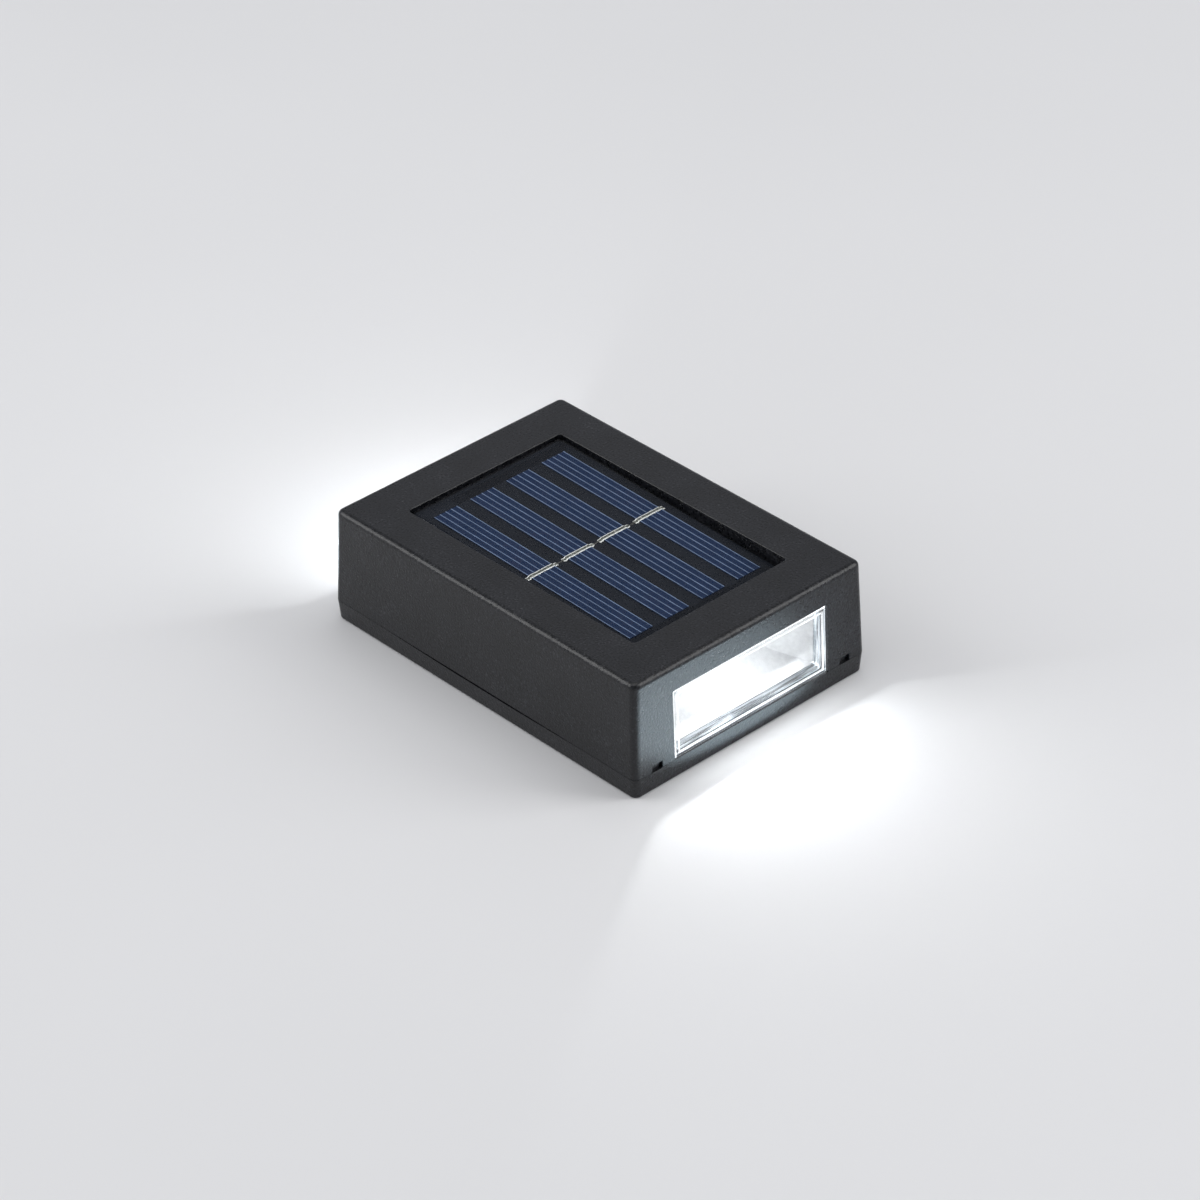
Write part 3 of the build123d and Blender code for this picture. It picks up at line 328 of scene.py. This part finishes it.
def cell_blue(name):
    """Navy silicon with faint crystal grains and a purple drift."""
    material, tree, shader = new_material(name, Specular_IOR_Level=0.05)
    grey = add(tree, "ShaderNodeRGBToBW", {0: cells(tree, 1.3 * MM).outputs["Color"]}).outputs[0]
    drift = grain(tree, 14 * MM, 2.0)
    both = add(tree, "ShaderNodeMix", {"Factor": 0.35, "A": drift, "B": grey}).outputs["Result"]
    feed(tree, shader,
         Base_Color=ramp(tree, both, (0.3, (0.007, 0.018, 0.052)), (0.55, (0.009, 0.022, 0.061)),
                         (0.75, (0.013, 0.022, 0.058))),
         Roughness=spread(tree, grey, 0.3, 0.45),
         Normal=relief(tree, grain(tree, 0.4 * MM, 2.0), 0.006 * MM))
    return material


def silver_line(name):
    """Printed silver paste."""
    return drifting(name, (0.13, 0.18, 0.28), 0.3 * MM, 0.2, (0.45, 0.6), 0.01 * MM, Specular_IOR_Level=0.1)


def solder(name):
    """Bright solder, along the edges of the ribbon."""
    material, tree, shader = new_material(name, Metallic=0.5)
    mottle = grain(tree, 0.55 * MM, 3.0)
    feed(tree, shader,
         Base_Color=ramp(tree, mottle, (0.3, (0.50, 0.51, 0.48)), (0.5, (0.88, 0.90, 0.87))),
         Roughness=spread(tree, mottle, 0.5, 0.28),
         Normal=relief(tree, grain(tree, 0.3 * MM, 2.0), 0.05 * MM))
    return material


def dull_solder(name):
    """The ribbon's tinned middle, mottled grey."""
    material, tree, shader = new_material(name, Metallic=0.5)
    mottle = grain(tree, 0.3 * MM, 3.0, (1.0, 0.5, 1.0))
    feed(tree, shader,
         Base_Color=ramp(tree, mottle, (0.35, (0.03, 0.033, 0.026)), (0.55, (0.13, 0.14, 0.115)),
                         (0.7, (0.50, 0.51, 0.47))),
         Roughness=spread(tree, mottle, 0.6, 0.35),
         Normal=relief(tree, mottle, 0.03 * MM))
    return material


def tarnished_link(name):
    """The dull bit of ribbon between two strips."""
    return drifting(name, (0.04, 0.04, 0.037), 0.25 * MM, 0.6, (0.3, 0.6), 0.04 * MM, Metallic=0.5)


def foam(name):
    """Closed-cell foam tape."""
    material, tree, shader = new_material(name)
    bubbles = cells(tree, 0.4 * MM).outputs["Distance"]
    feed(tree, shader,
         Base_Color=ramp(tree, bubbles, (0.1, (0.012, 0.012, 0.012)), (0.7, (0.04, 0.04, 0.04))),
         Roughness=spread(tree, bubbles, 0.8, 0.95),
         Normal=relief(tree, bubbles, 0.1 * MM))
    return material


def board_green(name):
    """Green solder resist over copper tracks."""
    material, tree, shader = new_material(name)
    tracks = add(tree, "ShaderNodeTexBrick",
                 {"Vector": place(tree), "Scale": 60.0, "Mortar Size": 0.03,
                  "Color1": (0.015, 0.10, 0.04, 1), "Color2": (0.02, 0.12, 0.05, 1),
                  "Mortar": (0.05, 0.22, 0.09, 1)})
    fine = grain(tree, 0.5 * MM, 2.0)
    feed(tree, shader,
         Base_Color=tracks.outputs["Color"],
         Roughness=spread(tree, fine, 0.25, 0.4),
         Normal=relief(tree, tracks.outputs["Fac"], 0.03 * MM, 0.5))
    return material


def chip_black(name):
    """The moulded body of the chip."""
    return drifting(name, (0.018, 0.018, 0.02), 0.15 * MM, 0.2, (0.45, 0.6), 0.01 * MM)


def ferrite(name):
    """Ferrite with lacquered copper turns."""
    material, tree, shader = new_material(name, Metallic=0.3)
    turns = add(tree, "ShaderNodeTexWave", {"Vector": place(tree), "Scale": 800.0, "Distortion": 0.4},
                bands_direction="Z").outputs["Fac"]
    feed(tree, shader,
         Base_Color=ramp(tree, turns, (0.2, (0.03, 0.025, 0.02)), (0.8, (0.20, 0.08, 0.03))),
         Roughness=spread(tree, turns, 0.6, 0.35),
         Normal=relief(tree, turns, 0.1 * MM))
    return material


def capacitor_sleeve(name):
    """A dark shrunk sleeve with a pale stripe on one side."""
    material, tree, shader = new_material(name)
    low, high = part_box("capacitor")
    share = spread(tree, part_of(tree, place(tree), "X"), 0.0, 1.0, low.x, high.x)
    feed(tree, shader,
         Base_Color=ramp(tree, share, (0.10, (0.45, 0.46, 0.5)), (0.13, (0.015, 0.02, 0.06))),
         Roughness=spread(tree, grain(tree, 0.5 * MM), 0.25, 0.4))
    return material


def resistor(name):
    """Fired ceramic."""
    return drifting(name, (0.03, 0.03, 0.032), 0.2 * MM, 0.3, (0.35, 0.55), 0.01 * MM)


def bare_steel(name):
    """Nickel-plated steel, drawn along one way."""
    return drifting(name, (0.50, 0.50, 0.49), 0.25 * MM, 0.12, (0.22, 0.4), 0.004 * MM, (0.15, 1.0, 1.0),
                    Metallic=1.0)


def battery_sleeve(name):
    """A green shrunk sleeve with a pale band near the positive end."""
    material, tree, shader = new_material(name)
    low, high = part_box("battery_sleeve")
    share = spread(tree, part_of(tree, place(tree), "X"), 0.0, 1.0, low.x, high.x)
    green, pale = (0.03, 0.17, 0.06), (0.5, 0.52, 0.5)
    feed(tree, shader,
         Base_Color=ramp(tree, share, (0.80, green), (0.81, pale), (0.90, pale), (0.91, green)),
         Roughness=spread(tree, grain(tree, 0.7 * MM), 0.22, 0.38),
         Normal=relief(tree, grain(tree, 2 * MM), 0.02 * MM))
    return material


def phenolic(name):
    """Brown pressed sheet with paper fibres."""
    return drifting(name, (0.16, 0.075, 0.03), 0.15 * MM, 0.3, (0.4, 0.6), 0.02 * MM, (0.2, 1.0, 1.0))


def knob_black(name):
    """The switch's slider, moulded and rubbed smooth."""
    return drifting(name, (0.02, 0.02, 0.021), 0.25 * MM, 0.25, (0.3, 0.5), 0.012 * MM)


def wire_red(name):
    """Red insulation."""
    return drifting(name, (0.42, 0.018, 0.018), 0.5 * MM, 0.15, (0.28, 0.42), 0.01 * MM)


def wire_black(name):
    """Black insulation."""
    return drifting(name, (0.015, 0.015, 0.016), 0.5 * MM, 0.2, (0.28, 0.42), 0.01 * MM)


LOOKS = (case_plastic, clear_lens, reflector_white, lamp_resin, panel_black, panel_clear, cell_blue,
         silver_line, solder, foam, board_green, chip_black, ferrite, capacitor_sleeve, resistor,
         bare_steel, battery_sleeve, phenolic, knob_black, wire_red, wire_black)


def dress_nodes():
    """Gives every CAD node the material of its slot. The lamps and reflectors cast no shadow."""
    made = {look.__name__: look(look.__name__) for look in LOOKS}
    for part in frame["record"]["subparts"]:
        node = NODES[part["node"]]
        node.data.materials.clear()
        node.data.materials.append(made[part["material_slot"]])
    for node in ("upper_led", "lower_led", "upper_reflector", "lower_reflector"):
        NODES[node].visible_shadow = False
    return made


# Pieces

def smooth_step(value):
    """A soft step from 0 to 1."""
    value = max(0.0, min(1.0, value))
    return value * value * (3 - 2 * value)


def top_plane(node):
    """Height at X = 0, and rise along X, of the flat top of a panel piece."""
    points = [vertex.co for vertex in NODES[node].data.vertices]
    ends = [max((p for p in points if (p.x > 0) == upper), key=lambda p: p.z) for upper in (False, True)]
    slope = (ends[1].z - ends[0].z) / (ends[1].x - ends[0].x)
    return ends[0].z - slope * ends[0].x, slope


def ribbon_section(y, on_strip, base_z, slope):
    """Points across the ribbon at y: lumpy solder on a flat foot, highest in a ridge along each edge."""
    # The noises are read along different rows, so that they don't follow each other
    wander = noise.noise(Vector((3.1, y / RIBBON_WANDER_RUN, 0.0)))
    swell = noise.noise(Vector((7.7, y / RIBBON_SWELL_RUN, 0.0)))
    half = (LINK_HALF_W + (RIBBON_HALF_W - LINK_HALF_W) * on_strip) * (1 + RIBBON_SWELL * swell)
    height = LINK_H + (RIBBON_H - LINK_H) * on_strip
    middle = RIBBON_WANDER * wander * (1.6 - on_strip)
    points = []
    for step in range(RIBBON_ARCH + 1):
        u = 2 * step / RIBBON_ARCH - 1
        lump = noise.noise(Vector((u * 1.6, y / RIBBON_LUMP_RUN, 5.0)))
        hollow = RIBBON_HOLLOW * on_strip * smooth_step((RIBBON_RIDGE + 0.2 - abs(u)) / RIBBON_RIDGE)
        rise = height * (1 - hollow) * math.sqrt(1 - abs(u) ** 4) * (1 - RIBBON_LUMP + RIBBON_LUMP * lump)
        x = middle + u * half
        points.append(Vector((x, y, base_z + slope * x + rise)))
    return points


def strip_cover(y, strips, reach):
    """1 over a strip, falling to 0 at reach beside it."""
    return max(smooth_step((high + reach - y) / reach) * smooth_step((y - low + reach) / reach)
               for low, high in strips)


def ribbon_look(column, on_strip):
    """Which material a face takes: 0 on a bright ridge, 1 in the dull middle, 2 on a link."""
    if on_strip < LINK_SHARE:
        return 2
    across = abs(2 * (column + 0.5) / RIBBON_ARCH - 1)
    return 1 if across < RIBBON_RIDGE else 0


def ribbon_course():
    """Sections along the whole ribbon, each as (its points, how far it lies on a strip)."""
    low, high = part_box("tabbing_ribbons")
    strips = [[corner.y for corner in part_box(f"solar_cell_{index}")] for index in range(1, 5)]
    cell_top, slope = top_plane("solar_cell_1")
    board_top = top_plane("panel_board")[0]
    tail = high.y - strips[-1][1]
    tails = [(a - tail, b + tail) for a, b in strips]
    count = round((high.y - low.y) / RIBBON_STEP)
    course = []
    for index in range(count + 1):
        y = low.y + (high.y - low.y) * index / count
        raised = strip_cover(y, strips, RIBBON_DIP_RUN)
        on_strip = strip_cover(y, tails, RIBBON_DIP_RUN)
        base_z = board_top + (cell_top - board_top) * raised
        course.append((ribbon_section(y, on_strip, base_z, slope), on_strip))
    return course


def ribbon_mesh(course):
    """The ribbon's closed mesh through its sections."""
    mesh = bmesh.new()
    sections = [[mesh.verts.new(point) for point in points] for points, on_strip in course]
    for index, (one, two) in enumerate(zip(sections, sections[1:])):
        rows = list(zip(one, two)) + [(one[0], two[0])]
        for column, ((a, b), (c, d)) in enumerate(zip(rows, rows[1:])):
            face = mesh.faces.new((a, b, d, c))
            face.material_index = ribbon_look(column, course[index][1])
            face.smooth = True
    mesh.faces.new(sections[0])
    mesh.faces.new(reversed(sections[-1]))
    bmesh.ops.recalc_face_normals(mesh, faces=mesh.faces)
    data = bpy.data.meshes.new("soldered_ribbon")
    mesh.to_mesh(data)
    mesh.free()
    return data


def make_ribbon(materials):
    """The soldered ribbon over the four strips, with dull links that dip to the board between them."""
    data = ribbon_mesh(ribbon_course())
    ribbon = bpy.data.objects.new("soldered_ribbon", data)
    bpy.context.scene.collection.objects.link(ribbon)
    for material in (materials["solder"], dull_solder("dull_solder"), tarnished_link("tarnished_link")):
        data.materials.append(material)
    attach(ribbon, "case")
    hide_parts("tabbing_ribbons")


# Stage

def make_floor():
    """The plain pale table under the light."""
    material, tree, shader = new_material("table", Specular_IOR_Level=0.2)
    patches = grain(tree, FLOOR_PATCH, 2.0)
    feed(tree, shader,
         Base_Color=ramp(tree, patches, (0.3, shaded(FLOOR_TONE, 0.99)), (0.7, shaded(FLOOR_TONE, 1.01))),
         Roughness=spread(tree, patches, 0.75, 0.85))
    half = FLOOR_SIZE / 2
    corners = [(-half, -half, 0), (half, -half, 0), (half, half, 0), (-half, half, 0)]
    data = bpy.data.meshes.new("table")
    data.from_pydata(corners, [], [(0, 1, 2, 3)])
    data.materials.append(material)
    table = bpy.data.objects.new("table", data)
    bpy.context.scene.collection.objects.link(table)


def make_world():
    """A soft grey room, darker overhead."""
    world = bpy.data.worlds.new("room")
    world.use_nodes = True
    tree = world.node_tree
    height = part_of(tree, add(tree, "ShaderNodeTexCoord").outputs["Generated"], "Z")
    tone = ramp(tree, height, (0.0, HORIZON), (1.0, ZENITH))
    tree.links.new(tone, tree.nodes["Background"].inputs["Color"])
    bpy.context.scene.world = world


def make_lamp(name, kind, where, **settings):
    """A Blender lamp that the camera doesn't see."""
    data = bpy.data.lights.new(name, kind)
    for key, value in settings.items():
        setattr(data, key, value)
    lamp = bpy.data.objects.new(name, data)
    lamp.location = where
    lamp.visible_camera = False
    bpy.context.scene.collection.objects.link(lamp)
    return lamp


def aim(lamp, back):
    """Turns a lamp so that it shines away from the direction back."""
    lamp.rotation_mode = "QUATERNION"
    lamp.rotation_quaternion = Vector(back).to_track_quat("Z", "Y")


def make_lamps():
    """Softboxes overhead and on both sides of the camera, a weak one behind, and the object's own light."""
    overhead = make_lamp("overhead_softbox", "AREA", OVERHEAD_PLACE, energy=OVERHEAD_POWER,
                         size=OVERHEAD_SIZE)
    aim(overhead, OVERHEAD_PLACE)
    for index, where in enumerate(SIDE_PLACES):
        beside = make_lamp(f"side_softbox_{index}", "AREA", where, energy=SIDE_POWER, shape="RECTANGLE",
                           size=SIDE_WIDTH, size_y=SIDE_HEIGHT)
        aim(beside, where)
    behind = make_lamp("backdrop", "AREA", BACK_PLACE, energy=BACK_POWER, shape="RECTANGLE",
                       size=BACK_WIDTH, size_y=BACK_HEIGHT)
    aim(behind, BACK_PLACE)
    for side, end in (("upper", Vector((1, 0, 0))), ("lower", Vector((-1, 0, 0)))):
        make_own_light(side, end)


def link_light(lamp, state, *nodes):
    """Makes a lamp light only some nodes (INCLUDE), or everything but them (EXCLUDE)."""
    receivers = bpy.data.collections.new(f"{lamp.name}_receivers")
    for node in nodes:
        receivers.objects.link(node)
    for entry in receivers.collection_objects:
        entry.light_linking.link_state = state
    lamp.light_linking.receiver_collection = receivers


def make_own_light(side, end):
    """The object's light at one end, with what the table throws back. end points out of the window."""
    low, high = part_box(f"{side}_led")
    middle = (low + high) / 2
    window_low, window_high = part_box(f"{side}_lens")
    lamps = (make_beam(side, end, middle), make_chamber(side, end, middle),
             make_window_glow(side, end, window_low, window_high))
    for lamp in lamps:
        lamp.visible_transmission = False
        lamp.visible_glossy = False
    make_bounce(side, end, max(abs(window_low.x), abs(window_high.x)))


def make_beam(side, end, middle):
    """The beam that leaves through the window and lights the table."""
    lamp = make_lamp(f"{side}_beam", "SPOT", middle - LAMP_BACK * end, energy=LAMP_POWER,
                     shadow_soft_size=LAMP_RADIUS, spot_size=math.radians(LAMP_SPREAD), spot_blend=1.0,
                     color=LAMP_TINT)
    aim(lamp, Matrix.Rotation(math.radians(-LAMP_TURN), 3, "Z") @ -end)
    link_light(lamp, "EXCLUDE", NODES[f"{side}_reflector"])
    return lamp


def make_chamber(side, end, middle):
    """The light inside the reflector."""
    lamp = make_lamp(f"{side}_chamber", "POINT", middle + CHAMBER_AHEAD * end, energy=CHAMBER_POWER,
                     shadow_soft_size=LAMP_RADIUS, color=LAMP_TINT)
    link_light(lamp, "INCLUDE", NODES[f"{side}_reflector"], NODES[f"{side}_led"])
    return lamp


def make_window_glow(side, end, low, high):
    """The soft light of the whole window, turned down to the table."""
    window = high - low
    lamp = make_lamp(f"{side}_window", "AREA", (low + high) / 2, energy=WINDOW_POWER, shape="RECTANGLE",
                     size=WINDOW_SHARE * window.y, size_y=WINDOW_SHARE * window.z, color=LAMP_TINT)
    tilt = math.radians(WINDOW_TILT)
    aim(lamp, Vector((0, 0, math.sin(tilt))) - math.cos(tilt) * end)
    return lamp


def make_bounce(side, end, face_x):
    """The light that the bright table in front of a window throws back at the case, from two patches."""
    for index, (near, far, half_y) in enumerate(BOUNCE_PATCHES):
        where = end * (face_x + (near + far) / 2) + Vector((0, 0, BOUNCE_Z))
        power = BOUNCE_LEVEL * math.pi ** 2 * (far - near) / 2 * half_y
        patch = make_lamp(f"{side}_bounce_{index}", "AREA", where, energy=power, shape="ELLIPSE",
                          size=far - near, size_y=2 * half_y, color=BOUNCE_TINT)
        patch.rotation_euler = (math.pi, 0, 0)
        link_light(patch, "EXCLUDE", NODES[f"{side}_lens"], NODES[f"{side}_reflector"])


def make_camera():
    """The camera at the photograph's viewing angle."""
    data = bpy.data.cameras.new("camera")
    data.lens = CAMERA_LENS
    camera = bpy.data.objects.new("camera", data)
    turn = (Matrix.Rotation(math.radians(CAMERA_AZIMUTH), 4, "Z")
            @ Matrix.Rotation(math.radians(90 - CAMERA_ELEVATION), 4, "X")
            @ Matrix.Rotation(math.radians(CAMERA_ROLL), 4, "Z"))
    camera.matrix_world = Matrix.Translation(CAMERA_PLACE) @ turn
    bpy.context.scene.collection.objects.link(camera)
    bpy.context.scene.camera = camera


make_camera()
make_world()
make_lamps()
make_floor()
make_ribbon(dress_nodes())
bpy.context.scene.view_settings.view_transform = "Standard"
